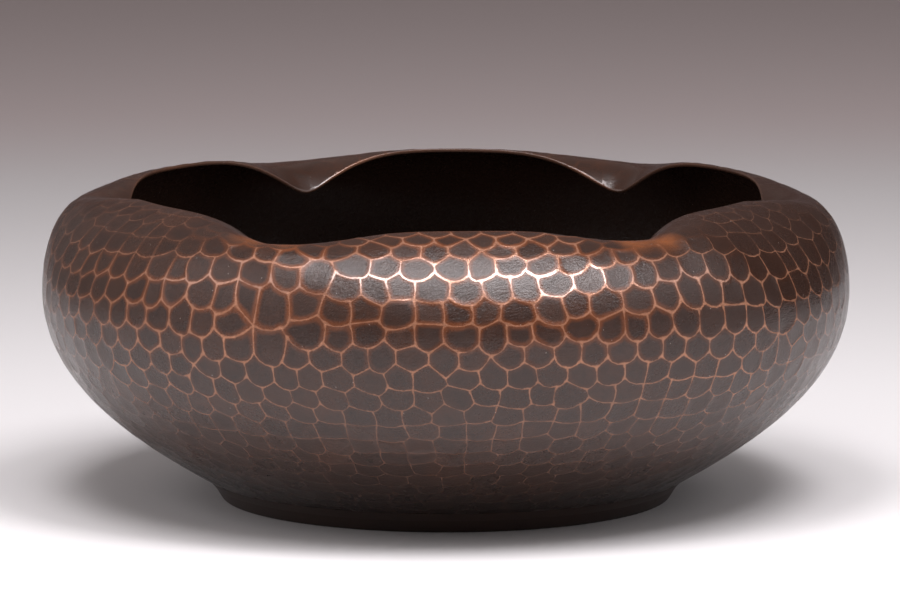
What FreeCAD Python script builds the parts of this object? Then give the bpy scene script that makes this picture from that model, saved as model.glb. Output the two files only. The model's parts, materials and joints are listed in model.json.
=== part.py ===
"""Hand-raised copper bowl with a six-lobed, in-turned rim, standing on a soldered foot ring.

Millimetres, +Z up.  The origin is on the table, on the bowl's axis.  -Y is the front.
Three pieces: the raised sheet-copper body, the foot ring and the solder seam between them.
"""
import FreeCAD, Part
import math
import os

from FreeCAD import Vector

# ---- the body's driving dimensions -------------------------------------------------
BELLY_RADIUS = 135.0       # widest circle of the body
BELLY_HEIGHT = 70.3        # height of that circle above the table
SHEET = 1.3                # copper sheet
BASE_HEIGHT = 3.6          # the flat base's underside above the table
WALL_START_RADIUS = 77.8   # where the base's rounded corner ends and the lower wall begins
WALL_START_HEIGHT = 5.5
WALL_START_SLOPE = 30.0    # degrees above level, at that place
LOWER_REACH = 28.8         # how far the lower wall holds its first direction
LOWER_RISE = 31.2          # how far below the belly the wall begins to turn upright

# ---- the rim: six folds pressed in and down, with a raised lobe between each pair ---
# azimuth in degrees from +X, rim radius, rim height, how far the wall stays upright above the belly
FOLDS = [
    (-6.1, 105.8, 93.2, 23.6),
    (56.2, 107.8, 91.8, 25.5),
    (118.9, 100.8, 91.7, 27.7),
    (177.9, 106.7, 92.6, 22.2),
    (241.1, 104.7, 90.1, 21.5),
    (305.8, 100.0, 90.2, 21.4),
]
# rim radius and height at the crown, how full the lobe is, lean towards the next fold
LOBES = [
    (105.6, 105.0, 1.52, 0.38),
    (104.8, 105.0, 1.54, 0.15),
    (108.6, 104.5, 1.37, 0.50),
    (106.0, 104.0, 1.77, 0.19),
    (105.7, 102.4, 1.20, 0.38),
    (104.7, 103.8, 2.02, 0.21),
]
FULLNESS_IN_PLAN = 0.93    # below 1, the rim swings out early beside a fold
FOLD_ROUNDING = 0.18       # softens the fold's valley, as a share of the lobe's height
RIM_SLOPE_LOBE = 1.0       # degrees: the sheet's direction at the rim, nearly level
RIM_SLOPE_FOLD = -48.0     # degrees: at a fold it dips towards the centre
SHOULDER_RISE_LOBE = 16.4  # how far the wall stays upright above the belly
RIM_REACH_LOBE = 12.4      # how far the rim holds its own direction, going outwards
RIM_REACH_FOLD = 25.0
COLUMNS = 180              # control columns round the bowl

# ---- the foot ring and its solder ---------------------------------------------------
FOOT_OUTER_BOTTOM = 75.2   # outer radius on the table, before the edge is rounded
FOOT_LEAN = 32.0           # degrees from upright: the ring widens upwards
FOOT_THICKNESS = 1.8
FOOT_OUTER_ROUND = 1.0
FOOT_INNER_ROUND = 0.4
SOLDER_GAP = 0.2           # film between the ring's top edge and the body
SOLDER_LEG_OUT = 2.0       # length of the outer fillet, along the body and the ring
SOLDER_LEG_IN = 1.5

TOLERANCE = 0.002


def tilt(degrees):
    """Unit vector in the X-Z half-plane: degrees above level, pointing outwards."""
    angle = math.radians(degrees)
    return Vector(math.cos(angle), 0, math.sin(angle))


def left_of(direction):
    """The direction turned a quarter turn to the left, in the X-Z half-plane."""
    return Vector(-direction.z, 0, direction.x)


def meet(point_a, way_a, point_b, way_b):
    """Where two lines in the X-Z half-plane cross."""
    cross = way_a.x * way_b.z - way_a.z * way_b.x
    gap = point_b - point_a
    return point_a + way_a * ((gap.x * way_b.z - gap.z * way_b.x) / cross)


def offset_polygon(points, distance):
    """Moves each leg of a control polygon to its left; the corners follow."""
    ways = [(b - a).normalize() for a, b in zip(points, points[1:])]
    moved = [points[0] + left_of(ways[0]) * distance]
    for corner, way_in, way_out in zip(points[1:-1], ways, ways[1:]):
        start = corner + left_of(way_in) * distance
        end = corner + left_of(way_out) * distance
        parallel = abs(way_in.x * way_out.z - way_in.z * way_out.x) < 1e-6
        moved.append(start if parallel else meet(start, way_in, end, way_out))
    moved.append(points[-1] + left_of(ways[-1]) * distance)
    return moved


# ---- the body's shape ----------------------------------------------------------------

def wall_start():
    """Lower end of the outer wall, where the base's rounded corner ends."""
    return Vector(WALL_START_RADIUS, 0, WALL_START_HEIGHT)


def corner_centre():
    """Centre and radius of the base's rounded corner, level at the base and tangent to the wall."""
    slope = math.radians(WALL_START_SLOPE)
    radius = (WALL_START_HEIGHT - BASE_HEIGHT) / (1 - math.cos(slope))
    return Vector(WALL_START_RADIUS - radius * math.sin(slope), 0, BASE_HEIGHT + radius), radius


def corner_arc(depth, from_angle):
    """Arc of the base's corner from an angle (0 at the flat base) to the wall, depth into the sheet."""
    centre, radius = corner_centre()
    angles = (from_angle, (from_angle + WALL_START_SLOPE) / 2, WALL_START_SLOPE)
    low, middle, high = [centre + tilt(angle - 90) * (radius - depth) for angle in angles]
    return Part.Arc(low, middle, high).toShape(), low


def lower_wall():
    """Control points of the outer wall from the base's corner to the belly."""
    belly = Vector(BELLY_RADIUS, 0, BELLY_HEIGHT)
    first = wall_start()
    return [first, first + tilt(WALL_START_SLOPE) * LOWER_REACH, belly - Vector(0, 0, LOWER_RISE), belly]


def rim_at(azimuth):
    """Rim radius, rim height, the wall's rise above the belly and share of lobe at an azimuth.

    The share is 0 in a fold and 1 on a crown.
    """
    first = FOLDS[0][0]
    turned = first + (azimuth - first) % 360
    starts = [fold[0] for fold in FOLDS] + [first + 360]
    index = max(i for i in range(6) if starts[i] <= turned + 1e-9)
    along = (turned - starts[index]) / (starts[index + 1] - starts[index])
    lobe_radius, lobe_height, fullness, lean = LOBES[index]
    leaned = along + lean * math.sin(2 * math.pi * along) / (2 * math.pi)
    wave = math.sin(math.pi * leaned)
    soft = FOLD_ROUNDING
    share = max(0.0, (math.hypot(wave, soft) - soft) / (math.hypot(1, soft) - soft))
    blend = 0.5 - 0.5 * math.cos(math.pi * leaned)
    here, following = FOLDS[index], FOLDS[(index + 1) % 6]
    blended = [a * (1 - blend) + b * blend for a, b in zip(here[1:], following[1:])]
    fold_radius, fold_height, fold_rise = blended
    radius = fold_radius + (lobe_radius - fold_radius) * share ** FULLNESS_IN_PLAN
    height = fold_height + (lobe_height - fold_height) * (1 - (1 - share) ** fullness)
    rise = fold_rise + (SHOULDER_RISE_LOBE - fold_rise) * share
    return radius, height, rise, share


def upper_wall(azimuth):
    """Control points of the outer wall from the belly to the rim, at an azimuth."""
    radius, height, rise, share = rim_at(azimuth)
    slope = RIM_SLOPE_FOLD + (RIM_SLOPE_LOBE - RIM_SLOPE_FOLD) * share
    reach = RIM_REACH_FOLD + (RIM_REACH_LOBE - RIM_REACH_FOLD) * share
    belly = Vector(BELLY_RADIUS, 0, BELLY_HEIGHT)
    rim = Vector(radius, 0, height)
    inwards = tilt(180 - slope)
    return [belly, belly + Vector(0, 0, rise), rim - inwards * reach, rim]


def bezier(polygon):
    curve = Part.BezierCurve()
    curve.setPoles(polygon)
    return curve


def turned_face(edge):
    return edge.revolve(Vector(0, 0, 0), Vector(0, 0, 1), 360)


def disc(radius, height):
    circle = Part.Circle(Vector(0, 0, height), Vector(0, 0, 1), radius)
    return Part.Face(Part.Wire(circle.toShape()))


def wavy_face(rows):
    """Smooth closed surface through rows of control points, one per column and turned to it.

    Cubic round the bowl; along the wall its degree is one less than the number of rows.
    """
    step = 2 * math.pi / COLUMNS
    swell = 3 / (2 + math.cos(step))   # a control ring this much wider gives the true radius
    degree = len(rows[0]) - 1
    poles = []
    for column, points in enumerate(rows):
        turn = column * step
        poles.append([Vector(p.x * swell * math.cos(turn), p.x * swell * math.sin(turn), p.z)
                      for p in points])
    surface = Part.BSplineSurface()
    surface.buildFromPolesMultsKnots(
        poles, [1] * (COLUMNS + 1), [degree + 1] * 2,
        [i / COLUMNS for i in range(COLUMNS + 1)], [0.0, 1.0], True, False, 3, degree)
    return surface.toShape()


def bowl_body():
    outer_rows = [upper_wall(360 * i / COLUMNS) for i in range(COLUMNS)]
    inner_rows = [offset_polygon(row, SHEET) for row in outer_rows]
    rim_rows = [[outer[-1], inner[-1]] for outer, inner in zip(outer_rows, inner_rows)]

    outer_low = lower_wall()
    inner_low = offset_polygon(outer_low, SHEET)
    faces = [wavy_face(outer_rows), wavy_face(rim_rows), wavy_face(inner_rows)]
    for depth, polygon in ((0, outer_low), (SHEET, inner_low)):
        corner, base_edge = corner_arc(depth, 0)
        wall = bezier(polygon).toShape()
        faces += [turned_face(wall), turned_face(corner), disc(base_edge.x, base_edge.z)]
    shell = Part.makeShell(faces)
    shell.sewShape(TOLERANCE)
    body = Part.makeSolid(Part.Shell(shell.Faces))
    body.fix(TOLERANCE, TOLERANCE, TOLERANCE)
    if body.Volume < 0:
        body.reverse()
    return body


# ---- the foot ring and the solder ------------------------------------------------------

def foot_corners():
    """The ring's section: outer and inner corners on the table, then outer and inner corners on top."""
    leg = tilt(90 - FOOT_LEAN)
    outer_foot = Vector(FOOT_OUTER_BOTTOM, 0, 0)
    inner_foot = Vector(FOOT_OUTER_BOTTOM - FOOT_THICKNESS / leg.z, 0, 0)
    slope = tilt(WALL_START_SLOPE)
    top_line = wall_start() - left_of(slope) * SOLDER_GAP
    outer_top = meet(outer_foot, leg, top_line, slope)
    inner_top = meet(inner_foot, leg, top_line, slope)
    return outer_foot, inner_foot, outer_top, inner_top


def turned_solid(edges):
    section = Part.Face(Part.Wire(edges))
    solid = section.revolve(Vector(0, 0, 0), Vector(0, 0, 1), 360)
    if solid.Volume < 0:
        solid.reverse()
    return solid


def foot_ring():
    """Band of strip, a cone open at the top; its top edge is filed to the body's slope."""
    outer_foot, inner_foot, outer_top, inner_top = foot_corners()
    ring = turned_solid(Part.makePolygon([outer_foot, outer_top, inner_top, inner_foot, outer_foot]).Edges)
    for corner, rounding in ((outer_foot, FOOT_OUTER_ROUND), (inner_foot, FOOT_INNER_ROUND)):
        circles = [edge for edge in ring.Edges if is_circle_through(edge, corner)]
        ring = ring.makeFillet(rounding, circles)
    return ring.Solids[0]


def is_circle_through(edge, point):
    curve = edge.Curve
    if not isinstance(curve, Part.Circle):
        return False
    return abs(curve.Radius - point.x) < TOLERANCE and abs(curve.Center.z - point.z) < TOLERANCE


def solder_seam():
    """Film between ring and body, with a straight-faced fillet inside and outside the ring."""
    outer_top, inner_top = foot_corners()[2:]
    leg = tilt(90 - FOOT_LEAN)
    wall = bezier(lower_wall())
    outer_on_body = wall_start() + tilt(WALL_START_SLOPE) * (outer_top.x - WALL_START_RADIUS + SOLDER_LEG_OUT)
    wall.segment(0, wall.parameter(outer_on_body))
    outer_on_body = wall.EndPoint
    outer_on_ring = outer_top - leg * SOLDER_LEG_OUT

    centre, radius = corner_centre()
    start_angle = math.degrees(math.asin((inner_top.x - SOLDER_LEG_IN - centre.x) / radius))
    corner, inner_on_body = corner_arc(0, start_angle)
    inner_on_ring = inner_top - leg * SOLDER_LEG_IN

    return turned_solid([
        corner,
        wall.toShape(),
        Part.makeLine(outer_on_body, outer_on_ring),
        Part.makeLine(outer_on_ring, outer_top),
        Part.makeLine(outer_top, inner_top),
        Part.makeLine(inner_top, inner_on_ring),
        Part.makeLine(inner_on_ring, inner_on_body),
    ])


def main():
    os.makedirs("parts", exist_ok=True)
    pieces = {"bowl_body": bowl_body(), "foot_ring": foot_ring(), "solder_seam": solder_seam()}
    for name, piece in pieces.items():
        if not piece.isValid() or len(piece.Solids) != 1:
            raise ValueError(name + " is not one sound solid")
        piece.exportStep("parts/" + name + ".step")


main()
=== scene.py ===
import json
import math
import random

import bpy
import numpy as np
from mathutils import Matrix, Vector
from mathutils.geometry import delaunay_2d_cdt

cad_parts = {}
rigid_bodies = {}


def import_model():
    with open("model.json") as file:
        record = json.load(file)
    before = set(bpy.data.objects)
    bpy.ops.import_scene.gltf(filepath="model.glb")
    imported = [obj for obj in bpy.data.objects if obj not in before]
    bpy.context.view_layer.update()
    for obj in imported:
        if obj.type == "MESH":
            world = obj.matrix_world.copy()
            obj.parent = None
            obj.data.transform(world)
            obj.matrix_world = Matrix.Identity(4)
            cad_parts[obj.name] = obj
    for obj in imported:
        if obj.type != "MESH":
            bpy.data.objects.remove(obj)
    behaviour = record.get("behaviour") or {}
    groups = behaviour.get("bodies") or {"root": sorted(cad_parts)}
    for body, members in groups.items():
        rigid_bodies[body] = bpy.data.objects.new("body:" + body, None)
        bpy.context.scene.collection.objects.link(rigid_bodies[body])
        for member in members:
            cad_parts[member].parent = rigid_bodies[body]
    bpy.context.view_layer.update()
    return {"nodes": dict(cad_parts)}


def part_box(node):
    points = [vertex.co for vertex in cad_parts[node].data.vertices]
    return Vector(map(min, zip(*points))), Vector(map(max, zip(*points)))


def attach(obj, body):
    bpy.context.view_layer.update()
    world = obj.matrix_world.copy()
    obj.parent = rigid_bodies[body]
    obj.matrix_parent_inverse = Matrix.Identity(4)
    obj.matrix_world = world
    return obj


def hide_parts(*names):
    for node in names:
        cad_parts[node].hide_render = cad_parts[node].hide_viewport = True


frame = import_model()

rng = random.Random(12)
noise = np.random.default_rng(12)

MM = 0.001
TAU = 2 * math.pi

# ---- the bowl's shape, in millimetres; sizes that the frame knows are read from it -------
body_low, body_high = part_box("bowl_body")
BELLY_RADIUS = (body_high[0] - body_low[0]) / 2 / MM
BASE_HEIGHT = body_low[2] / MM         # the flat base's underside above the floor
BELLY_HEIGHT = 70.3                    # height of the widest circle
SHEET = 1.3                            # copper sheet
WALL_START_RADIUS = 77.8               # where the base's rounded corner ends and the lower wall begins
WALL_START_HEIGHT = 5.5
WALL_START_SLOPE = math.radians(30)
LOWER_REACH = 28.8                     # how far the lower wall holds its first direction
LOWER_RISE = 31.2                      # how far below the belly the wall begins to turn upright

# folds: azimuth from +X in degrees, rim radius, rim height, rise of the wall above the belly
FOLDS = np.array([
    (-6.1, 105.8, 93.2, 23.6),
    (56.2, 107.8, 91.8, 25.5),
    (118.9, 100.8, 91.7, 27.7),
    (177.9, 106.7, 92.6, 22.2),
    (241.1, 104.7, 90.1, 21.5),
    (305.8, 100.0, 90.2, 21.4),
])
# lobes: rim radius and height at the crown, how full the lobe is, lean to the next fold
LOBES = np.array([
    (105.6, 105.0, 1.52, 0.38),
    (104.8, 105.0, 1.54, 0.15),
    (108.6, 104.5, 1.37, 0.50),
    (106.0, 104.0, 1.77, 0.19),
    (105.7, 102.4, 1.20, 0.38),
    (104.7, 103.8, 2.02, 0.21),
])
FOLD_ROUNDING = 0.18                   # softens a fold's valley, as a share of the lobe's height
FULLNESS_IN_PLAN = 0.93                # below 1, the rim swings out early beside a fold
RIM_SLOPE_LOBE, RIM_SLOPE_FOLD = math.radians(1), math.radians(-48)     # the sheet's direction at the rim
RISE_LOBE = 16.4                       # the wall's rise above the belly, below a lobe's crown
REACH_LOBE, REACH_FOLD = 12.4, 25.0    # how far the rim holds its own direction, going outwards


def rim_at(phi):
    """Rim radius, rim height, the wall's rise above the belly, and the share of lobe.

    The share runs from 0 in a fold to 1 on a lobe's crown."""
    first = FOLDS[0, 0]
    turned = first + (np.degrees(phi) - first) % 360
    starts = np.append(FOLDS[:, 0], first + 360)
    index = np.clip(np.searchsorted(starts, turned, side="right") - 1, 0, 5)
    along = (turned - starts[index]) / (starts[index + 1] - starts[index])
    lobe = LOBES[index]
    leaned = along + lobe[..., 3] * np.sin(TAU * along) / TAU
    wave = np.sin(math.pi * leaned)
    top = math.hypot(1, FOLD_ROUNDING) - FOLD_ROUNDING
    share = np.clip((np.hypot(wave, FOLD_ROUNDING) - FOLD_ROUNDING) / top, 0, 1)
    blend = 0.5 - 0.5 * np.cos(math.pi * leaned)
    here, following = FOLDS[index], FOLDS[(index + 1) % 6]
    fold = here * (1 - blend[..., None]) + following * blend[..., None]
    radius = fold[..., 1] + (lobe[..., 0] - fold[..., 1]) * share ** FULLNESS_IN_PLAN
    height = fold[..., 2] + (lobe[..., 1] - fold[..., 2]) * (1 - (1 - share) ** lobe[..., 2])
    rise = fold[..., 3] + (RISE_LOBE - fold[..., 3]) * share
    return radius, height, rise, share


def cubic(p0, p1, p2, p3, t):
    u = 1 - t
    return u ** 3 * p0 + 3 * u * u * t * p1 + 3 * u * t * t * p2 + t ** 3 * p3


CORNER_RADIUS = (WALL_START_HEIGHT - BASE_HEIGHT) / (1 - math.cos(WALL_START_SLOPE))
FLAT_RADIUS = WALL_START_RADIUS - CORNER_RADIUS * math.sin(WALL_START_SLOPE)


def lower_table():
    """Radius, height and arc length of the wall from the flat base to the belly."""
    angle = np.linspace(0, WALL_START_SLOPE, 24)
    corner_r = FLAT_RADIUS + CORNER_RADIUS * np.sin(angle)
    corner_z = BASE_HEIGHT + CORNER_RADIUS * (1 - np.cos(angle))
    t = np.linspace(0, 1, 240)[1:]
    first_r = WALL_START_RADIUS + LOWER_REACH * math.cos(WALL_START_SLOPE)
    first_z = WALL_START_HEIGHT + LOWER_REACH * math.sin(WALL_START_SLOPE)
    wall_r = cubic(WALL_START_RADIUS, first_r, BELLY_RADIUS, BELLY_RADIUS, t)
    wall_z = cubic(WALL_START_HEIGHT, first_z, BELLY_HEIGHT - LOWER_RISE, BELLY_HEIGHT, t)
    radius = np.concatenate([corner_r, wall_r])
    height = np.concatenate([corner_z, wall_z])
    length = np.concatenate([[0], np.cumsum(np.hypot(np.diff(radius), np.diff(height)))])
    return radius, height, length


LOWER_R, LOWER_Z, LOWER_S = lower_table()
LOWER_LENGTH = LOWER_S[-1]


def profile(phi, q):
    """Radius and height of the outer surface. q runs 0 at the flat base, 1 at the belly, 2 at the rim."""
    low = np.clip(q, 0, 1) * LOWER_LENGTH
    radius_low = np.interp(low, LOWER_S, LOWER_R)
    height_low = np.interp(low, LOWER_S, LOWER_Z)
    rim_radius, rim_height, rise, share = rim_at(phi)
    slope = RIM_SLOPE_FOLD + (RIM_SLOPE_LOBE - RIM_SLOPE_FOLD) * share
    reach = REACH_FOLD + (REACH_LOBE - REACH_FOLD) * share
    t = np.clip(q - 1, 0, 1)
    radius_up = cubic(BELLY_RADIUS, BELLY_RADIUS, rim_radius + reach * np.cos(slope), rim_radius, t)
    height_up = cubic(BELLY_HEIGHT, BELLY_HEIGHT + rise, rim_height - reach * np.sin(slope), rim_height, t)
    upper = q > 1
    return np.where(upper, radius_up, radius_low), np.where(upper, height_up, height_low)


def surface(phi, q):
    radius, height = profile(phi, q)
    return np.stack([radius * np.cos(phi), radius * np.sin(phi), height], -1)


def surface_and_normal(phi, q):
    """Points on the smooth outer surface and its outward normals."""
    phi, q = np.asarray(phi, float), np.asarray(q, float)
    step = 1e-3
    along = surface(phi + step, q) - surface(phi - step, q)
    up = surface(phi, np.minimum(q + step, 2)) - surface(phi, np.maximum(q - step, 0))
    normal = np.cross(along, up)
    normal /= np.linalg.norm(normal, axis=-1, keepdims=True)
    return surface(phi, q), normal


# ---- hammer marks ------------------------------------------------------------------------
# v is a height coordinate in which the surface is as tall as it is wide per radian, so that
# marks laid out in (azimuth, v) keep their shape on the bowl.
Q_TABLE = np.linspace(0, 2, 401)


def v_table():
    """v and the radius at each q of the table, measured up the middle of the front lobe."""
    front = math.radians(270)
    radius, height = profile(np.full_like(Q_TABLE, front), Q_TABLE)
    step = np.hypot(np.diff(radius), np.diff(height))
    middle = (radius[1:] + radius[:-1]) / 2
    return np.concatenate([[0], np.cumsum(step / middle)]), radius


V_TABLE, R_TABLE = v_table()
V_TOP = V_TABLE[-1]
MARK_WIDTH = 10.0          # mm, at the rim; a little less towards the foot
MARK_HEIGHT = 7.1
RIM_COURSES = (5.0, 5.4, 5.6, 7.4, 9.6, 6.4, 8.0, 6.6)     # heights of the courses below the rim
WIDTH_AT_FOOT = 0.88       # of the width at the rim
JITTER_ALONG = 0.19        # of the distance between two strikes of a course
JITTER_ACROSS = 0.14       # of the course's height
JITTER_OF_START = 0.12     # how unevenly a course is staggered over the one above
WANDER = 0.09              # how far the courses wave up and down, of their height
MISSING_SHARE = 0.012      # share of the strikes that are left out


def q_of(v):
    return np.interp(v, V_TABLE, Q_TABLE)


def radius_of(v):
    return np.interp(v, V_TABLE, R_TABLE)


def hammer_strikes():
    """Centres (azimuth, v) of the hammer marks, in courses from the rim down."""
    courses = []
    top = V_TOP
    start = rng.uniform(0, TAU)
    waves = [(k, rng.gauss(0, WANDER), rng.uniform(0, TAU)) for k in range(2, 9)]
    while top > 0.01:
        index = len(courses)
        height = RIM_COURSES[index] if index < len(RIM_COURSES) else MARK_HEIGHT * rng.uniform(0.93, 1.08)
        step = height / radius_of(top)
        if top - step < 0.4 * step:
            step = top
        middle = top - step / 2
        width = MARK_WIDTH * (WIDTH_AT_FOOT + (1 - WIDTH_AT_FOOT) * middle / V_TOP)
        pitch = TAU / round(TAU * radius_of(middle) / width)
        start += pitch * (0.5 + rng.uniform(-JITTER_OF_START, JITTER_OF_START))
        edge_share = min(1.0, index / 3, (top - step) / 0.1)
        course = []
        for i in range(round(TAU / pitch)):
            phi = start + pitch * (i + rng.uniform(-JITTER_ALONG, JITTER_ALONG))
            wander = sum(size * math.sin(k * phi + shift + 0.25 * index) for k, size, shift in waves)
            lift = step * (rng.uniform(-JITTER_ACROSS, JITTER_ACROSS) + wander) * edge_share
            if rng.random() > MISSING_SHARE or edge_share == 0:
                course.append((phi % TAU, middle + lift))
        courses.append(course)
        top -= step
    return courses


class Joined:
    """Groups of corner points that are so close that they become one."""

    def __init__(self, count):
        self.parent = list(range(count))

    def find(self, i):
        while self.parent[i] != i:
            self.parent[i] = self.parent[self.parent[i]]
            i = self.parent[i]
        return i

    def join(self, i, j):
        self.parent[self.find(i)] = self.find(j)


def circumcentre(a, b, c):
    """The point at the same distance from three others: a corner between three marks."""
    ax, ay = a
    bx, by = b[0] - ax, b[1] - ay
    cx, cy = c[0] - ax, c[1] - ay
    d = 2 * (bx * cy - by * cx)
    ux = (cy * (bx * bx + by * by) - by * (cx * cx + cy * cy)) / d
    uy = (bx * (cx * cx + cy * cy) - cx * (bx * bx + by * by)) / d
    return ax + ux, ay + uy


WRAP = 0.35                # azimuth overlap that lets marks meet across the seam
SHORTEST_EDGE = 0.010      # corners closer than this become one


def corners_round(seeds, mirrored):
    """The corners' places, and round each seed a list of (corner id, place)."""
    points, origin = [], []
    for i, (phi, v) in enumerate(seeds + mirrored):
        for turn in (-TAU, 0, TAU):
            if -WRAP < phi + turn < TAU + WRAP:
                points.append(Vector((phi + turn, v)))
                origin.append((i, turn == 0))
    out = delaunay_2d_cdt(points, [], [], 0, 1e-7)
    placed, faces, originals = out[0], out[2], out[3]
    owner = [origin[o[0]] for o in originals]

    corner_id, corners, around = {}, [], {}
    for face in faces:
        names = tuple(sorted(owner[v][0] for v in face))
        centre = circumcentre(*[placed[v] for v in face])
        if names not in corner_id:
            corner_id[names] = len(corners)
            corners.append((centre[0] % TAU, centre[1]))
        for v in face:
            seed, primary = owner[v]
            if primary and seed < len(seeds):
                around.setdefault(seed, []).append((corner_id[names], centre))
    return corners, around


def mark_cells(courses):
    """The outline of every mark: a list of (seed, [corner ids]) and the corners' places."""
    seeds = [seed for course in courses for seed in course]
    # strikes mirrored past the rim and the base give the marks beside them straight edges there
    mirrored = [(phi, 2 * V_TOP - v) for phi, v in courses[0] + courses[1]]
    mirrored += [(phi, -v) for phi, v in courses[-1] + courses[-2]]
    corners, around = corners_round(seeds, mirrored)
    joined = Joined(len(corners))
    loops = {}
    for seed, ring in around.items():
        phi, v = seeds[seed]
        ring.sort(key=lambda item: math.atan2(item[1][1] - v, item[1][0] - phi))
        loops[seed] = [item[0] for item in ring]
        for (i, a), (j, b) in zip(ring, ring[1:] + ring[:1]):
            if math.hypot(a[0] - b[0], a[1] - b[1]) < SHORTEST_EDGE:
                joined.join(i, j)
    place = {}
    for i, corner in enumerate(corners):
        root = joined.find(i)
        place[root] = corners[root]
    cells = []
    for seed, ring in loops.items():
        names = [joined.find(i) for i in ring]
        names = [a for a, b in zip(names, names[1:] + names[:1]) if a != b]
        if len(names) >= 3:
            cells.append((seeds[seed], names))
    return cells, place


def near_turn(phi, reference):
    """phi moved by whole turns to lie next to the reference."""
    return reference + (phi - reference + math.pi) % TAU - math.pi


SOFTENING = 0.22           # how far a corner moves towards the mean of its neighbours
BORDER_TOLERANCE = 1e-4


def build_marks():
    """The marks' outlines and the corners' places, with each inner corner softened."""
    cells, place = mark_cells(hammer_strikes())
    neighbours = {}
    for _, names in cells:
        for a, b in zip(names, names[1:] + names[:1]):
            neighbours.setdefault(a, set()).add(b)
            neighbours.setdefault(b, set()).add(a)
    softened = {}
    for name, (phi, v) in place.items():
        if name not in neighbours:
            continue
        if v > V_TOP - BORDER_TOLERANCE or v < BORDER_TOLERANCE:
            softened[name] = (phi, V_TOP if v > V_TOP / 2 else 0.0)
            continue
        near = [(near_turn(place[n][0], phi), place[n][1]) for n in neighbours[name]]
        mean = [sum(p[k] for p in near) / len(near) for k in (0, 1)]
        softened[name] = (phi + SOFTENING * (mean[0] - phi), v + SOFTENING * (mean[1] - v))
    return cells, softened


SEGMENTS = 3               # pieces of each edge between two marks
FINE_SEGMENTS = 6          # the same in the folds
RINGS = (0.55,)            # rings of points in a mark, as shares of its outline
FINE_RINGS = (0.72, 0.55, 0.38, 0.2)
SHOULDER = 0.55            # mm from a ridge to the ring of points beside it
CORNER_SHOULDER = 1.0
WORN_ROW = (1.42, 1.54)    # q range of the row whose level ridges are worn most


def planished_at(phi, q):
    """Where a fold turns down into the bowl the hammering is planished smooth: 0 to 1."""
    share = rim_at(phi)[3]
    return np.clip(1.15 - share / 0.62, 0, 1) ** 0.7 * np.clip((q - 1.58) / 0.2, 0, 1)


def fold_swelling(phi, v):
    """Low swelling (mm) that the planishing leaves across each fold, a little above its lip."""
    away = np.degrees(phi)[:, None] - FOLDS[None, :, 0]
    away = np.abs((away + 180) % 360 - 180).min(1)
    across = np.radians(away) * radius_of(v)
    below_rim = (V_TOP - v) * radius_of(v)
    return 0.45 * np.exp(-(across / 6.5) ** 2 - ((below_rim - 6.0) / 3.0) ** 2)


class Points:
    """Points of the hammered surface."""

    def __init__(self):
        self.phi, self.v = [], []
        self.lift = []             # mm off the smooth surface
        self.wear = []             # how worn the nearest ridge is
        self.distance = []         # mm to the nearest ridge

    def add(self, phi, v, lift, wear, distance=0.0):
        self.phi.append(phi)
        self.v.append(v)
        self.lift.append(lift)
        self.wear.append(wear)
        self.distance.append(distance)
        return len(self.phi) - 1


class Ridges:
    """The ridges between marks. Neighbouring marks share their corners and edges."""

    def __init__(self, points, place):
        self.points = points
        self.place = place
        self.corners, self.edges = {}, {}

    def corner(self, name):
        if name not in self.corners:
            phi, v = self.place[name]
            self.corners[name] = self.points.add(phi, v, rng.uniform(0.0, 0.03), rng.uniform(0.9, 1.35))
        return self.corners[name]

    def edge(self, a, b, near_phi):
        """The points between corners a and b."""
        key = (min(a, b), max(a, b))
        if key not in self.edges:
            start, end = [(near_turn(phi, near_phi), v) for phi, v in map(self.place.get, key)]
            self.edges[key] = self.make_edge(start, end)
        made = self.edges[key]
        return made if key[0] == a else made[::-1]

    def make_edge(self, start, end):
        """A bowed edge: the mark above bulges over the one below."""
        across = (end[0] - start[0], end[1] - start[1])
        length = math.hypot(*across)
        down = (-across[1] / length, across[0] / length)
        if down[1] > 0:
            down = (-down[0], -down[1])
        middle = ((start[0] + end[0]) / 2, (start[1] + end[1]) / 2)
        level = abs(across[0]) / length
        bulge = rng.gauss(0.0, 0.035) + 0.11 * level * rng.uniform(0.2, 1.6)
        if min(start[1], end[1]) > V_TOP - 0.1:
            bulge *= 0.5
        bow = min(bulge * length, 0.0075)
        if abs(across[1]) < 1e-9 and start[1] in (V_TOP, 0.0):
            bow = 0.0
        wear = rng.uniform(0.05, 1.0) ** 0.6
        if level > 0.6 and WORN_ROW[0] < q_of(middle[1]) < WORN_ROW[1]:
            wear = rng.uniform(1.0, 1.7)
        sag = rng.uniform(-0.02, 0.02)
        planished = planished_at(np.array([middle[0]]), q_of(middle[1]))[0]
        segments = FINE_SEGMENTS if planished > 0.05 else SEGMENTS
        made = []
        for k in range(1, segments):
            share = k / segments
            out = 4 * share * (1 - share) * bow
            made.append(self.points.add(start[0] + across[0] * share + down[0] * out,
                                        start[1] + across[1] * share + down[1] * out, sag, wear))
        return made


def pairs(count):
    """Each index with the one after it, round a closed ring."""
    return [(i, (i + 1) % count) for i in range(count)]


def distance_to_outline(points, outline):
    """Distance of each point to the closed polyline, in the outline's units."""
    a = outline[None, :, :]
    b = np.roll(outline, -1, axis=0)[None, :, :]
    p = points[:, None, :]
    way = b - a
    along = np.clip(((p - a) * way).sum(-1) / np.maximum((way * way).sum(-1), 1e-12), 0, 1)
    return np.linalg.norm(p - (a + way * along[..., None]), axis=-1).min(1)


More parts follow.
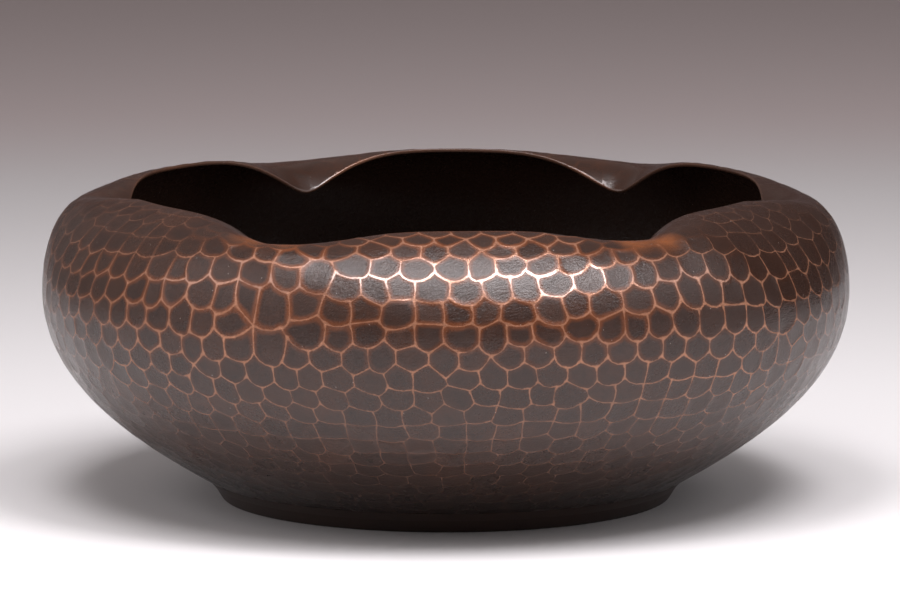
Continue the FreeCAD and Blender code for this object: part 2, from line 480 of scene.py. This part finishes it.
def fill_mark(points, seed, loop, corners_at):
    """Adds the dished inside of one mark and returns its faces."""
    scale = radius_of(seed[1])
    outline = np.array([(near_turn(points.phi[i], seed[0]), points.v[i]) for i in loop])
    centre = outline.mean(0)
    local = (outline - centre) * scale
    reach = np.linalg.norm(local, axis=1)
    depth = rng.uniform(0.11, 0.19) * min(1.0, (reach.mean() / 4.2) ** 2)
    lean = np.array([rng.gauss(0, 0.011), rng.gauss(0, 0.011)])
    wear = [points.wear[i] for i in loop]
    shoulder = np.full(len(loop), SHOULDER)
    shoulder[corners_at] = CORNER_SHOULDER
    beside_ridge = np.maximum(reach - shoulder, 0.7 * reach) / reach
    planished = planished_at(np.array([seed[0]]), q_of(seed[1]))[0]
    shares = FINE_RINGS if planished > 0.02 else RINGS
    rings = [loop]
    for factor in [beside_ridge] + [np.full(len(loop), share) for share in shares]:
        flat = local * factor[:, None]
        lift = -depth * (1 - factor ** 2) + flat @ lean
        clear = distance_to_outline(flat, local)
        if len(rings) == 1:
            clear = np.minimum(clear, SHOULDER)
        phi, v = (centre + flat / scale).T
        rings.append([points.add(*point) for point in zip(phi, v, lift, wear, clear)])
    middle = points.add(centre[0], centre[1], -depth, sum(wear) / len(loop), reach.min())
    faces = []
    for outer, inner in zip(rings, rings[1:]):
        faces += [(outer[i], outer[j], inner[j], inner[i]) for i, j in pairs(len(loop))]
    faces += [(rings[-1][i], rings[-1][j], middle) for i, j in pairs(len(loop))]
    return faces


def hammered_outside():
    """The outer surface: points in mm, faces, attributes, and its borders at the rim and the base."""
    cells, place = build_marks()
    points = Points()
    ridges = Ridges(points, place)
    outlines = []
    for seed, names in cells:
        loop, corners_at = [], []
        for a, b in zip(names, names[1:] + names[:1]):
            corners_at.append(len(loop))
            loop.append(ridges.corner(a))
            loop += ridges.edge(a, b, seed[0])
        outlines.append((seed, loop, corners_at))
    ridge_count = len(points.phi)
    faces, face_mark = [], []
    for mark, outline in enumerate(outlines):
        made = fill_mark(points, *outline)
        faces += made
        face_mark += [mark] * len(made)

    phi, v = np.array(points.phi), np.array(points.v)
    planished = planished_at(phi, q_of(v))
    place_3d, normal = surface_and_normal(phi, q_of(v))
    shallower = np.clip((v - 0.02) / 0.25, 0.35, 1)       # towards the foot
    raised = np.array(points.lift) * shallower * (1 - planished) + fold_swelling(phi, v)
    at_rim = v > V_TOP - 1e-6

    def border(height):
        return sorted((phi[i] % TAU, i) for i in range(ridge_count) if v[i] == height)

    return {
        "points": place_3d + normal * raised[:, None],
        "faces": faces,
        "face_mark": np.array(face_mark),
        "marks": len(outlines),
        "ridge": np.array(points.distance) + 1.5 * planished + 0.5 * at_rim,
        "worn": np.array(points.wear),
        "planished": planished,
        "rim": border(V_TOP),
        "base": border(0.0),
    }


# ---- the whole body ------------------------------------------------------------------------
OUTSIDE, RIM_EDGE, INSIDE, UNDERSIDE = range(4)            # zones
RIM_EDGE_ROUNDING = ((0.18, 0.16), (0.65, 0.26), (1.12, 0.16))      # mm: into the sheet, outwards
INSIDE_RINGS = 46
FLOOR_SHARES = (0.93, 0.8, 0.62, 0.42, 0.2)                # rings of the flat base
# azimuth in degrees, half width in degrees, and how bare the rim's edge is rubbed there
RUBBED_EDGES = (
    (109, 7, 0.85), (62, 4.5, 0.75), (152, 9, 0.15), (300, 8, 0.2),
    (262, 12, 0.12), (205, 16, 0.1), (20, 12, 0.1),
)
EDGE_WEAR = 0.13                                           # everywhere else
FAR_FROM_RIDGE = 5.0                                       # mm, where there are no ridges


class Shell:
    """The body's points and faces, each face with its zone."""

    def __init__(self, points, faces):
        self.points = [points]
        self.count = len(points)
        self.faces = list(faces)
        self.zones = [OUTSIDE] * len(faces)

    def ring(self, points):
        self.points.append(points)
        self.count += len(points)
        return list(range(self.count - len(points), self.count))

    def bridge(self, first, second, zone):
        for i, j in pairs(len(first)):
            self.faces.append((first[i], first[j], second[j], second[i]))
            self.zones.append(zone)

    def close(self, ring, height, zone):
        middle = self.ring(np.array([(0, 0, height)]))[0]
        for i, j in pairs(len(ring)):
            self.faces.append((ring[i], ring[j], middle))
            self.zones.append(zone)


def soft_dents(points):
    """Gentle unevenness of the inner surface, 0 to 0.12 mm."""
    x, y, z = np.asarray(points).T
    waves = np.sin(x / 3.1 + 1.7 * np.sin(y / 5.3)) * np.sin(y / 3.4 + 1.3 * np.sin(x / 4.9 + z / 4.1))
    return 0.06 + 0.06 * waves * np.cos(z / 3.7)


def flat_ring(phi, share):
    """A ring of points at height 0, at a share of the flat base's radius."""
    radius = FLAT_RADIUS * share
    return np.stack([radius * np.cos(phi), radius * np.sin(phi), np.zeros_like(phi)], -1)


def add_rim_edge(shell, phi, ring):
    """The sheet's rounded edge at the rim. Returns its last ring."""
    corner, normal = surface_and_normal(phi, np.full_like(phi, 2.0))
    onward = corner - surface(phi, np.full_like(phi, 1.99))
    onward /= np.linalg.norm(onward, axis=-1, keepdims=True)
    for depth, push in RIM_EDGE_ROUNDING:
        following = shell.ring(corner - normal * depth + onward * push)
        shell.bridge(ring, following, RIM_EDGE)
        ring = following
    return ring


def add_inside(shell, phi, ring):
    """The inner wall, from the rim down, and the floor of the bowl."""
    for q in np.linspace(2, 0, INSIDE_RINGS):
        point, normal = surface_and_normal(phi, np.full_like(phi, q))
        dent = soft_dents(point) * min(1.0, (2 - q) * 6)
        following = shell.ring(point - normal * (SHEET + dent)[:, None])
        shell.bridge(ring, following, RIM_EDGE if q == 2 else INSIDE)
        ring = following
    for share in FLOOR_SHARES:
        points = flat_ring(phi, share)
        points[:, 2] = BASE_HEIGHT + SHEET + soft_dents(points)
        following = shell.ring(points)
        shell.bridge(ring, following, INSIDE)
        ring = following
    shell.close(ring, BASE_HEIGHT + SHEET, INSIDE)


def add_underside(shell, phi, ring):
    """The outer face of the flat base."""
    for share in FLOOR_SHARES:
        following = shell.ring(flat_ring(phi, share) + (0, 0, BASE_HEIGHT))
        shell.bridge(following, ring, UNDERSIDE)
        ring = following
    shell.close(ring[::-1], BASE_HEIGHT, UNDERSIDE)


def edge_wear(phi):
    """How bare the rim's cut edge is rubbed: a little everywhere, most beside the back lobe's folds."""
    wear = np.full_like(phi, EDGE_WEAR)
    for azimuth, half_width, amount in RUBBED_EDGES:
        away = (np.degrees(phi) - azimuth + 180) % 360 - 180
        wear = np.maximum(wear, amount * np.exp(-(away / half_width) ** 2))
    return wear


def store(mesh, name, domain, values):
    layer = mesh.attributes.new(name, "FLOAT", domain)
    layer.data.foreach_set("value", values.astype(np.float32))


def extended(values, count, default):
    """The outside's values, then the default for the points or faces after them."""
    return np.concatenate([values, np.full(count - len(values), default)])


def build_body():
    outside = hammered_outside()
    shell = Shell(outside["points"], outside["faces"])
    rim_phi = np.array([phi for phi, _ in outside["rim"]])
    rim_ring = [i for _, i in outside["rim"]]
    edge_start = shell.count
    inner_edge = add_rim_edge(shell, rim_phi, rim_ring)
    edge_end = shell.count
    add_inside(shell, rim_phi, inner_edge)
    base_phi = np.array([phi for phi, _ in outside["base"]])
    add_underside(shell, base_phi, [i for _, i in outside["base"]])

    mesh = bpy.data.meshes.new("hammered_body")
    mesh.from_pydata((np.concatenate(shell.points) * MM).tolist(), [], shell.faces)
    mesh.validate()
    mesh.shade_smooth()
    for name, default in (("ridge", FAR_FROM_RIDGE), ("worn", 0.0), ("planished", 0.0)):
        store(mesh, name, "POINT", extended(outside[name], shell.count, default))
    wear = edge_wear(rim_phi)
    bare_edge = np.zeros(shell.count)
    bare_edge[edge_start:edge_end] = np.tile(wear, len(RIM_EDGE_ROUNDING))
    bare_edge[rim_ring] = 0.5 * wear
    store(mesh, "bare_edge", "POINT", bare_edge)
    for name in ("tint", "gloss"):                         # random for each mark
        by_mark = noise.uniform(0, 1, outside["marks"])
        store(mesh, name, "FACE", extended(by_mark[outside["face_mark"]], len(shell.faces), 0.5))
    store(mesh, "zone", "FACE", np.array(shell.zones))
    piece = bpy.data.objects.new("hammered_body", mesh)
    bpy.context.scene.collection.objects.link(piece)
    return piece


# ---- materials -----------------------------------------------------------------------------

class Nodes:
    """Short-hand for building the node tree of a material or the world."""

    def __init__(self, owner, shader="Principled BSDF"):
        owner.use_nodes = True
        self.owner = owner
        self.tree = owner.node_tree
        self.shader = self.tree.nodes[shader]

    def node(self, kind, inputs=None, **settings):
        made = self.tree.nodes.new(kind)
        for key, value in settings.items():
            setattr(made, key, value)
        for key, value in (inputs or {}).items():
            self.put(made.inputs[key], value)
        return made

    def put(self, socket, value):
        if isinstance(value, bpy.types.NodeSocket):
            self.tree.links.new(value, socket)
        else:
            socket.default_value = value

    def shade(self, **inputs):
        """Sets the shader's inputs; an underscore in a name stands for a space."""
        for key, value in inputs.items():
            self.put(self.shader.inputs[key.replace("_", " ")], value)

    def attribute(self, name):
        return self.node("ShaderNodeAttribute", attribute_name=name).outputs["Fac"]

    def coordinates(self, kind="Object"):
        return self.node("ShaderNodeTexCoord").outputs[kind]

    def split(self, vector):
        return self.node("ShaderNodeSeparateXYZ", {"Vector": vector}).outputs

    def math(self, operation, a, b=0.0, c=0.0):
        made = self.node("ShaderNodeMath", operation=operation)
        for socket, value in zip(made.inputs, (a, b, c)):
            self.put(socket, value)
        return made.outputs[0]

    def times(self, *values):
        product = values[0]
        for value in values[1:]:
            product = self.math("MULTIPLY", product, value)
        return product

    def scaled(self, value, factor, offset):
        return self.math("MULTIPLY_ADD", value, factor, offset)

    def ramp(self, value, low, high, to_low=0.0, to_high=1.0):
        made = self.node("ShaderNodeMapRange", interpolation_type="SMOOTHSTEP")
        for key, number in (("Value", value), ("From Min", low), ("From Max", high),
                            ("To Min", to_low), ("To Max", to_high)):
            self.put(made.inputs[key], number)
        return made.outputs["Result"]

    def mix(self, factor, a, b):
        """Colour between a and b; a colour is (red, green, blue) or a socket."""
        made = self.node("ShaderNodeMix", data_type="RGBA")
        self.put(made.inputs["Factor"], factor)
        for key, colour in (("A", a), ("B", b)):
            self.put(made.inputs[key], (*colour, 1) if isinstance(colour, tuple) else colour)
        return made.outputs["Result"]

    def noise(self, scale, detail=3.0, roughness=0.55, place=None, stretch=None):
        place = place or self.coordinates()
        if stretch:
            place = self.node("ShaderNodeMapping", {"Vector": place, "Scale": stretch}).outputs[0]
        made = self.node("ShaderNodeTexNoise", {"Vector": place, "Scale": scale, "Detail": detail,
                                                "Roughness": roughness})
        return made.outputs["Fac"]

    def bump(self, height, strength):
        made = self.node("ShaderNodeBump", {"Height": height, "Strength": strength, "Distance": 0.0002})
        self.put(self.shader.inputs["Normal"], made.outputs[0])


# colours, as linear red, green and blue
PATINA = ((0.033, 0.0145, 0.0095), (0.048, 0.022, 0.0145))
DARK_GRAIN = (0.022, 0.013, 0.010)
WARM_CLOUD = (0.060, 0.022, 0.011)
ORANGE_HALO = (0.20, 0.055, 0.015)
# painted shade: darkens the right flank of the shoulder
PAINTED_SHADE_RIGHT = (0.024, 0.009, 0.005)
# painted shade: darkens the wall low down, next to the floor above the foot
PAINTED_SHADE_LOW = (0.014, 0.007, 0.005)
RUBBED = (0.27, 0.080, 0.020)
BROWN_INSIDE = (0.034, 0.018, 0.012)
PALE_SPECK = (0.42, 0.36, 0.33)
BARE_COPPER = ((0.42, 0.185, 0.105), (0.58, 0.285, 0.175))
DULL_COPPER = (0.36, 0.18, 0.12)
FOOT_COPPER = ((0.024, 0.014, 0.011), (0.042, 0.020, 0.013))
# places on the shoulder, beside the two front folds, that are rubbed orange
RUBBED_SPOTS = ((-0.061, -0.0985, 0.0955), (-0.050, -0.103, 0.0955), (0.059, -0.0985, 0.0962),
                (0.068, -0.0945, 0.0962))


class CopperNodes(Nodes):
    """Dark patina on hammered copper, worn to bright copper on the ridges."""

    def __init__(self, owner):
        super().__init__(owner)
        self.place = self.coordinates()                    # metres, in the shared frame
        self.x, self.y, self.z = self.split(self.place)
        self.fine = self.noise(1100, 3)
        self.grain = self.noise(330, 4, 0.65)
        self.cloud = self.noise(60, 4)
        self.ridge = self.attribute("ridge")
        self.worn = self.attribute("worn")
        self.planished = self.attribute("planished")
        # 1 high on the shoulder and behind the front lobe
        self.near_rim = self.times(self.ramp(self.z, 0.086, 0.096), self.ramp(self.y, -0.118, -0.09))
        self.region = self.worn_region()
        self.line = self.worn_line()

    def worn_region(self):
        """Most wear is on the front's shoulder; there is hardly any above the foot or at the sides."""
        up = self.ramp(self.z, 0.012, 0.080, 0.08, 1.0)
        around = self.math("MAXIMUM", self.ramp(self.y, -0.115, -0.015, 1.0, 0.3),
                           self.ramp(self.y, 0.0, 0.07, 0.0, 0.75))
        away_from_rim = self.scaled(self.near_rim, -0.75, 1.0)
        patches = self.ramp(self.noise(13, 3), 0.3, 0.65, 0.55, 1.0)
        return self.times(up, around, away_from_rim, patches)

    def worn_line(self):
        """1 on the bare crest of a ridge, 0 on the patina."""
        wobble = self.scaled(self.noise(600, 3), 0.4, -0.2)
        distance = self.math("ADD", self.ridge, wobble)
        width = self.scaled(self.times(self.worn, self.region), 0.22, 0.095)
        line = self.ramp(self.math("DIVIDE", distance, width), 0.2, 1.5, 1.0, 0.0)
        line = self.times(line, self.scaled(self.region, 0.62, 0.16), self.scaled(self.worn, 0.6, 0.45))
        bare_edge = self.times(self.attribute("bare_edge"), self.ramp(self.cloud, 0.3, 0.6, 0.6, 1.0))
        return self.math("MAXIMUM", line, bare_edge)

    def patina_and_painted_shade(self):
        """Dark brown patina, orange beside the worn ridges, with painted shade that darkens it on the right
        and above the foot.
        """
        shoulder = self.ramp(self.z, 0.055, 0.078, 0.2, 1.0)
        reach = self.math("ADD", self.ridge, self.scaled(self.cloud, 2.6, -1.3))
        halo = self.times(self.ramp(reach, 0.0, 1.7, 1.0, 0.0), shoulder, self.region)
        # painted shade: the shoulder's right side is darkened in its colour
        right = self.times(self.ramp(self.x, 0.035, 0.110), shoulder)
        # painted shade: darker low down, towards the foot
        low = self.ramp(self.z, 0.008, 0.034, 0.8, 0.0)
        inside = self.ramp(self.attribute("zone"), 1.2, 1.8)

        colour = self.mix(self.attribute("tint"), *PATINA)
        colour = self.mix(self.ramp(self.grain, 0.35, 0.7, 0.0, 0.45), colour, DARK_GRAIN)
        colour = self.mix(self.ramp(self.cloud, 0.45, 0.75, 0.0, 0.6), colour, WARM_CLOUD)
        colour = self.mix(self.times(halo, 0.75), colour, ORANGE_HALO)
        colour = self.mix(self.times(right, 0.85), colour, PAINTED_SHADE_RIGHT)
        colour = self.mix(low, colour, PAINTED_SHADE_LOW)
        for spot in RUBBED_SPOTS:
            colour = self.mix(self.rubbed(spot), colour, RUBBED)
        colour = self.mix(self.times(inside, 0.6), colour, BROWN_INSIDE)
        return self.mix(self.times(self.specks(), 0.5), colour, PALE_SPECK)

    def rubbed(self, spot):
        """An irregular patch round the spot."""
        away = self.node("ShaderNodeVectorMath", {0: self.place, 1: spot}, operation="DISTANCE")
        away = self.scaled(self.cloud, 0.012, self.math("SUBTRACT", away.outputs["Value"], 0.006))
        return self.ramp(away, 0.001, 0.010, 0.75, 0.0)

    def specks(self):
        """A few pale specks of dust or wax."""
        cells = self.node("ShaderNodeTexVoronoi", {"Vector": self.place, "Scale": 380.0}).outputs
        chance = self.node("ShaderNodeSeparateColor", {"Color": cells["Color"]}).outputs[0]
        return self.times(self.math("LESS_THAN", cells["Distance"], 0.075),
                          self.math("GREATER_THAN", chance, 0.86))

    def bare(self):
        """Bright copper, duller low down."""
        bright = self.mix(self.fine, *BARE_COPPER)
        return self.mix(self.ramp(self.z, 0.030, 0.062, 0.8, 0.0), bright, DULL_COPPER)

    def roughness(self):
        """Differs from mark to mark; smoother on the ridges and where the copper is planished."""
        rough = self.scaled(self.attribute("gloss"), 0.12, 0.20)
        rough = self.math("ADD", rough, self.scaled(self.grain, 0.2, -0.1))
        rough = self.scaled(self.line, -0.08, rough)
        return self.scaled(self.planished, -0.11, rough)

    def coat(self):
        """Wax that shines on the shoulder's worn ridges."""
        return self.times(self.line, self.ramp(self.z, 0.080, 0.089), self.scaled(self.near_rim, -0.85, 1.0))

    def relief(self):
        """Scratches and brush marks."""
        scratches = self.noise(230, 5, 0.75, stretch=(1.0, 1.0, 6.0))
        turned = self.node("ShaderNodeMapping", {"Vector": self.place, "Rotation": (0.5, 0.7, 0.0)})
        brushed = self.noise(950, 3, 0.65, place=turned.outputs[0], stretch=(1.0, 1.0, 2.6))
        relief = self.math("ADD", self.times(scratches, 0.8), self.times(self.fine, 0.5))
        return self.math("ADD", relief, self.times(brushed, 1.2))


def copper_material():
    n = CopperNodes(bpy.data.materials.new("hammered_copper"))
    n.shade(Base_Color=n.mix(n.line, n.patina_and_painted_shade(), n.bare()), Metallic=n.times(n.line, 0.5),
            Roughness=n.roughness(), IOR=1.52,
            Coat_Weight=n.coat(), Coat_Roughness=0.16, Coat_IOR=1.9)
    n.bump(n.relief(), n.scaled(n.planished, -0.35, 0.5))
    return n.owner


def foot_material():
    n = Nodes(bpy.data.materials.new("foot_copper"))
    n.shade(Base_Color=n.mix(n.noise(30, 4), *FOOT_COPPER),
            Roughness=n.scaled(n.noise(800), 0.12, 0.34), IOR=1.5)
    n.bump(n.noise(200, 4, 0.6, stretch=(1, 1, 10)), 0.06)
    return n.owner


# ---- the object ----------------------------------------------------------------------------

body = build_body()
body.data.materials.append(copper_material())
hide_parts("bowl_body")
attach(body, "root")

foot = foot_material()
for name in ("foot_ring", "solder_seam"):
    node = frame["nodes"][name]
    node.data.materials.clear()
    node.data.materials.append(foot)


# ---- stage, light and camera ---------------------------------------------------------------
FLOOR_FRONT, FLOOR_BACK, FLOOR_HALF_WIDTH = -3.0, 4.2, 1.8
BACKDROP_BEND, BACKDROP_HEIGHT = 1.2, 2.4
BEND_STEPS = 16


def floor_material():
    """Pale, with painted light and shade: brighter just in front of the object, and greyer and warmer with
    the distance.
    """
    n = Nodes(bpy.data.materials.new("pale_floor"))
    depth = n.split(n.coordinates())["Y"]
    # painted light and shade: the falloff of the light with distance is put in the floor's colour
    colour = n.mix(n.ramp(depth, -0.1, 0.2), (0.88, 0.87, 0.87), (0.82, 0.81, 0.81))
    colour = n.mix(n.ramp(depth, 0.15, 1.15), colour, (0.68, 0.66, 0.66))
    colour = n.mix(n.ramp(depth, 0.8, 1.25), colour, (0.675, 0.59, 0.585))
    n.shade(Base_Color=colour, Roughness=0.75)
    return n.owner


def floor_and_backdrop():
    """One pale sheet: flat floor that curves up behind the object."""
    line = [(FLOOR_FRONT, 0.0), (FLOOR_BACK - BACKDROP_BEND, 0.0)]
    for k in range(1, BEND_STEPS + 1):
        angle = math.pi / 2 * k / BEND_STEPS
        behind = FLOOR_BACK - BACKDROP_BEND * (1 - math.sin(angle))
        line.append((behind, BACKDROP_BEND * (1 - math.cos(angle))))
    line.append((FLOOR_BACK, BACKDROP_HEIGHT))
    vertices = [(x, y, z) for y, z in line for x in (-FLOOR_HALF_WIDTH, FLOOR_HALF_WIDTH)]
    faces = [(2 * k, 2 * k + 1, 2 * k + 3, 2 * k + 2) for k in range(len(line) - 1)]
    mesh = bpy.data.meshes.new("floor")
    mesh.from_pydata(vertices, [], faces)
    mesh.shade_smooth()
    mesh.materials.append(floor_material())
    floor = bpy.data.objects.new("floor", mesh)
    bpy.context.scene.collection.objects.link(floor)


def turn_to(thing, target):
    """Points a light or a camera at the target."""
    thing.rotation_euler = (Vector(target) - thing.location).to_track_quat("-Z", "Y").to_euler()


def softbox(name, place, aim, width, height, power):
    light = bpy.data.lights.new(name, "AREA")
    light.shape = "RECTANGLE"
    light.size, light.size_y = width, height
    light.energy = power
    light.color = (1.0, 0.965, 0.99)
    lamp = bpy.data.objects.new(name, light)
    lamp.location = place
    turn_to(lamp, aim)
    bpy.context.scene.collection.objects.link(lamp)


def softboxes():
    softbox("key_left", (-0.20, -0.46, 1.2), (-0.1, -0.2, 0), 0.38, 0.62, 7.0)
    softbox("key_right", (0.39, -0.46, 1.2), (0.15, -0.2, 0), 0.36, 0.60, 9.9)
    softbox("front", (0.05, -0.55, 1.22), (0.04, -0.3, 0), 0.84, 0.92, 2.5)
    softbox("wide", (0.1, -0.5, 1.3), (0, -0.3, 0), 3.0, 1.1, 3.4)
    softbox("left", (-1.2, -0.45, 0.8), (0, 0, 0), 1.2, 1.0, 4.4)
    softbox("right", (1.2, -0.35, 0.85), (0, 0, 0), 1.2, 1.0, 4.2)


def camera():
    """A long lens, a little above the bowl's rim, 2 m from the bowl's middle."""
    distance = 2.0
    elevation = math.radians(8.29)
    middle = Vector((0.0014, 0, 0.052))
    aim = Vector((0.0014, 0, 0.0649))
    data = bpy.data.cameras.new("camera")
    data.sensor_width = 36
    data.lens = 238.4
    data.clip_end = 50
    eye = bpy.data.objects.new("camera", data)
    eye.location = middle + Vector((0, -math.cos(elevation), math.sin(elevation))) * distance
    turn_to(eye, aim)
    bpy.context.scene.collection.objects.link(eye)
    bpy.context.scene.camera = eye


def world():
    """Dim studio walls: darkest behind the camera and to the right."""
    studio = bpy.data.worlds.new("studio")
    n = Nodes(studio, "Background")
    way = n.split(n.coordinates("Generated"))
    light = n.times(n.ramp(way["X"], -0.2, 0.95, 1.0, 0.2), n.ramp(way["Y"], -1.0, -0.3, 0.35, 1.0))
    n.shade(Color=n.mix(light, (0, 0, 0), (1.0, 0.90, 0.89)), Strength=0.22)
    bpy.context.scene.world = studio


floor_and_backdrop()
softboxes()
camera()
world()
bpy.context.scene.view_settings.view_transform = "Standard"
